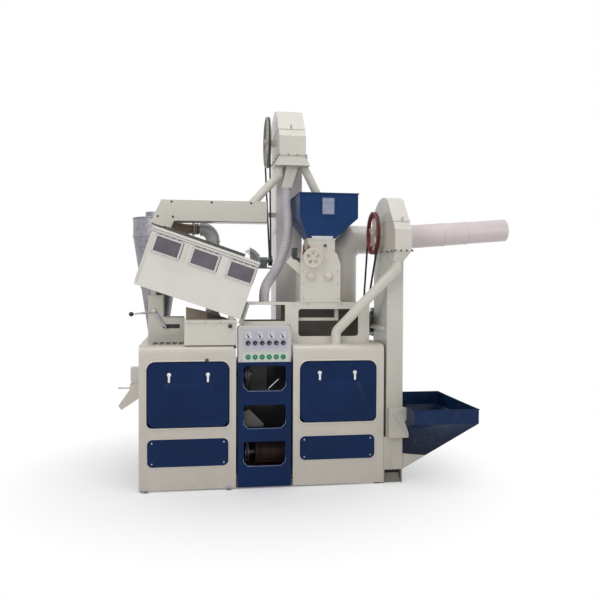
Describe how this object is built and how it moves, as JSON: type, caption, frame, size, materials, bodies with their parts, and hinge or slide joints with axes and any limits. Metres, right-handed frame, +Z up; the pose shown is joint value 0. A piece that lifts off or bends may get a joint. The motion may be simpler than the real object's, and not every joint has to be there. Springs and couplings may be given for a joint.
{
  "type": "rice huller",
  "caption": "Combined rice huller: cabinets with drop doors, tilted paddy separator, roll husker, bucket elevators, cyclone, ducts, hoppers and belt drives",
  "frame": {"origin": "centre of the base on the floor, on the middle pad of the base frame", "axes": "+X to the right of the machine along the outlet pipe, +Y to the back, +Z up"},
  "size_m": [3.3669, 1.369, 3.1301],
  "materials": {
    "cream_paint": "satin off-white enamel",
    "blue_paint": "satin deep blue enamel",
    "fascia_paint": "satin lavender grey enamel",
    "leg_paint": "satin grey enamel",
    "pipe_paint": "satin pinkish grey enamel",
    "hose_grey": "matte flexible hose",
    "galvanised": "dull zinc",
    "steel": "machined",
    "chrome": "polished",
    "frame_black": "satin black enamel",
    "cast_grey": "painted casting",
    "wheel_cream": "cream enamel on casting",
    "wheel_maroon": "maroon enamel on casting",
    "belt_rubber": "matte",
    "roll_rubber": "matte",
    "black_plastic": "glossy",
    "green_plastic": "glossy",
    "meter_plastic": "glossy",
    "pane": "tinted sheet",
    "motor_green": "satin enamel"
  },
  "bodies": {
    "station": {"base_frame": "frame_black", "left_cabinet": "cream_paint", "right_cabinet": "cream_paint", "lower_panels": "blue_paint", "belt_guard": "blue_paint", "control_box": "fascia_paint", "ammeters": "meter_plastic", "separator_frame": "cream_paint", "husker_stand": "cream_paint", "husker_body": "cream_paint", "husker_hopper": "blue_paint", "left_elevator_leg": "leg_paint", "left_elevator_head": "leg_paint", "head_spouts": "galvanised", "separator_hose": "hose_grey", "transfer_duct": "cream_paint", "cyclone": "galvanised", "bran_duct": "galvanised", "exhaust_elbow": "cream_paint", "outlet_pipe": "pipe_paint", "right_elevator_leg": "leg_paint", "right_elevator_head": "cream_paint", "intake_hopper": "blue_paint", "rice_spout": "cream_paint", "drive_belts": "belt_rubber", "elevator_drives": "motor_green", "main_motor": "motor_green", "mill_chamber": "cast_grey", "suction_fan": "cream_paint"},
    "left_door": {"left_upper_door": "blue_paint"},
    "right_door": {"right_upper_door": "blue_paint"},
    "shaking_deck": {"separator_deck": "cream_paint", "deck_windows": "pane"},
    "lever": {"adjust_lever": "black_plastic"},
    "gate": {"gate_rod": "steel"},
    "wheel": {"hand_wheel": "wheel_cream"},
    "fast_roll": {"roller_fast": "roll_rubber"},
    "slow_roll": {"roller_slow": "roll_rubber"},
    "left_head_wheel": {"left_head_pulley": "wheel_cream"},
    "left_drive_wheel": {"left_drive_pulley": "cast_grey"},
    "right_head_wheel": {"right_head_pulley": "wheel_maroon"},
    "right_motor_wheel": {"right_motor_pulley": "cast_grey"},
    "mill_shaft": {"mill_rotor": "cast_grey"},
    "motor_wheel": {"main_motor_pulley": "cast_grey"},
    "latch_1": {"door_latch_1": "chrome"},
    "latch_2": {"door_latch_2": "chrome"},
    "latch_3": {"door_latch_3": "chrome"},
    "latch_4": {"door_latch_4": "chrome"},
    "button_1": {"push_button_1": "green_plastic"},
    "switch_1": {"selector_switch_1": "black_plastic"},
    "button_2": {"push_button_2": "green_plastic"},
    "switch_2": {"selector_switch_2": "black_plastic"},
    "button_3": {"push_button_3": "green_plastic"},
    "switch_3": {"selector_switch_3": "black_plastic"},
    "button_4": {"push_button_4": "green_plastic"},
    "switch_4": {"selector_switch_4": "black_plastic"},
    "button_5": {"push_button_5": "green_plastic"},
    "switch_5": {"selector_switch_5": "black_plastic"},
    "button_6": {"push_button_6": "green_plastic"},
    "switch_6": {"selector_switch_6": "black_plastic"}
  },
  "joints": [
    {"name": "left_door_hinge", "type": "hinge", "parent": "station", "child": "left_door", "pos_m": [-0.5855, -0.537, 0.507], "axis": [1, 0, 0], "range_deg": [0, 90]},
    {"name": "right_door_hinge", "type": "hinge", "parent": "station", "child": "right_door", "pos_m": [0.588, -0.537, 0.523], "axis": [1, 0, 0], "range_deg": [0, 90]},
    {"name": "latch_turn_1", "type": "hinge", "parent": "left_door", "child": "latch_1", "pos_m": [-0.731, -0.549, 0.898], "axis": [0, -1, 0], "range_deg": [0, 90]},
    {"name": "latch_turn_2", "type": "hinge", "parent": "left_door", "child": "latch_2", "pos_m": [-0.437, -0.549, 0.898], "axis": [0, 1, 0], "range_deg": [0, 90]},
    {"name": "latch_turn_3", "type": "hinge", "parent": "right_door", "child": "latch_3", "pos_m": [0.436, -0.549, 0.898], "axis": [0, -1, 0], "range_deg": [0, 90]},
    {"name": "latch_turn_4", "type": "hinge", "parent": "right_door", "child": "latch_4", "pos_m": [0.718, -0.549, 0.898], "axis": [0, 1, 0], "range_deg": [0, 90]},
    {"name": "button_press_1", "type": "slide", "parent": "station", "child": "button_1", "axis": [0, 1, 0], "range_m": [0, 0.005], "stiffness_N_per_m": 300, "springref_m": -0.001},
    {"name": "switch_turn_1", "type": "hinge", "parent": "station", "child": "switch_1", "pos_m": [-0.1295, -0.549, 1.137], "axis": [0, 1, 0], "range_deg": [-45, 45]},
    {"name": "button_press_2", "type": "slide", "parent": "station", "child": "button_2", "axis": [0, 1, 0], "range_m": [0, 0.005], "stiffness_N_per_m": 300, "springref_m": -0.001},
    {"name": "switch_turn_2", "type": "hinge", "parent": "station", "child": "switch_2", "pos_m": [-0.0745, -0.549, 1.137], "axis": [0, 1, 0], "range_deg": [-45, 45]},
    {"name": "button_press_3", "type": "slide", "parent": "station", "child": "button_3", "axis": [0, 1, 0], "range_m": [0, 0.005], "stiffness_N_per_m": 300, "springref_m": -0.001},
    {"name": "switch_turn_3", "type": "hinge", "parent": "station", "child": "switch_3", "pos_m": [-0.0195, -0.549, 1.137], "axis": [0, 1, 0], "range_deg": [-45, 45]},
    {"name": "button_press_4", "type": "slide", "parent": "station", "child": "button_4", "axis": [0, 1, 0], "range_m": [0, 0.005], "stiffness_N_per_m": 300, "springref_m": -0.001},
    {"name": "switch_turn_4", "type": "hinge", "parent": "station", "child": "switch_4", "pos_m": [0.0355, -0.549, 1.137], "axis": [0, 1, 0], "range_deg": [-45, 45]},
    {"name": "button_press_5", "type": "slide", "parent": "station", "child": "button_5", "axis": [0, 1, 0], "range_m": [0, 0.005], "stiffness_N_per_m": 300, "springref_m": -0.001},
    {"name": "switch_turn_5", "type": "hinge", "parent": "station", "child": "switch_5", "pos_m": [0.0905, -0.549, 1.137], "axis": [0, 1, 0], "range_deg": [-45, 45]},
    {"name": "button_press_6", "type": "slide", "parent": "station", "child": "button_6", "axis": [0, 1, 0], "range_m": [0, 0.005], "stiffness_N_per_m": 300, "springref_m": -0.001},
    {"name": "switch_turn_6", "type": "hinge", "parent": "station", "child": "switch_6", "pos_m": [0.1455, -0.549, 1.137], "axis": [0, 1, 0], "range_deg": [-45, 45]},
    {"name": "deck_shake", "type": "slide", "parent": "station", "child": "shaking_deck", "axis": [1, 0, 0], "range_m": [-0.008, 0.008]},
    {"name": "lever_swing", "type": "hinge", "parent": "station", "child": "lever", "pos_m": [-0.861, -0.207, 1.372], "axis": [0, 1, 0], "range_deg": [-20, 20]},
    {"name": "gate_slide", "type": "slide", "parent": "station", "child": "gate", "axis": [-1, 0, 0], "range_m": [0, 0.012]},
    {"name": "hand_wheel_turn", "type": "hinge", "parent": "station", "child": "wheel", "pos_m": [0.394, -0.459, 1.806], "axis": [0, 1, 0], "continuous": true},
    {"name": "fast_roll_spin", "type": "hinge", "parent": "station", "child": "fast_roll", "pos_m": [0.3885, -0.256, 1.66], "axis": [0, 1, 0], "continuous": true},
    {"name": "slow_roll_spin", "type": "hinge", "parent": "station", "child": "slow_roll", "pos_m": [0.5315, -0.256, 1.66], "axis": [0, 1, 0], "continuous": true},
    {"name": "left_head_spin", "type": "hinge", "parent": "station", "child": "left_head_wheel", "pos_m": [0.106, 0.336, 2.866], "axis": [1, 0, 0], "continuous": true},
    {"name": "left_drive_spin", "type": "hinge", "parent": "station", "child": "left_drive_wheel", "pos_m": [0.106, 0.057, 1.797], "axis": [1, 0, 0], "continuous": true},
    {"name": "right_head_spin", "type": "hinge", "parent": "station", "child": "right_head_wheel", "pos_m": [0.918, -0.339, 2.016], "axis": [1, 0, 0], "continuous": true},
    {"name": "right_motor_spin", "type": "hinge", "parent": "station", "child": "right_motor_wheel", "pos_m": [0.918, -0.02, 1.27], "axis": [1, 0, 0], "continuous": true},
    {"name": "mill_spin", "type": "hinge", "parent": "station", "child": "mill_shaft", "pos_m": [-0.123, -0.33, 0.872], "axis": [1, 0, 0], "continuous": true},
    {"name": "main_motor_spin", "type": "hinge", "parent": "station", "child": "motor_wheel", "pos_m": [-0.123, -0.33, 0.24], "axis": [1, 0, 0], "continuous": true}
  ],
  "couplings": [
    {"joint": "slow_roll_spin", "follows": "fast_roll_spin", "ratio": -0.76},
    {"joint": "left_drive_spin", "follows": "left_head_spin", "ratio": 5.0222},
    {"joint": "right_motor_spin", "follows": "right_head_spin", "ratio": 3.8889},
    {"joint": "main_motor_spin", "follows": "mill_spin", "ratio": 1.4}
  ]
}
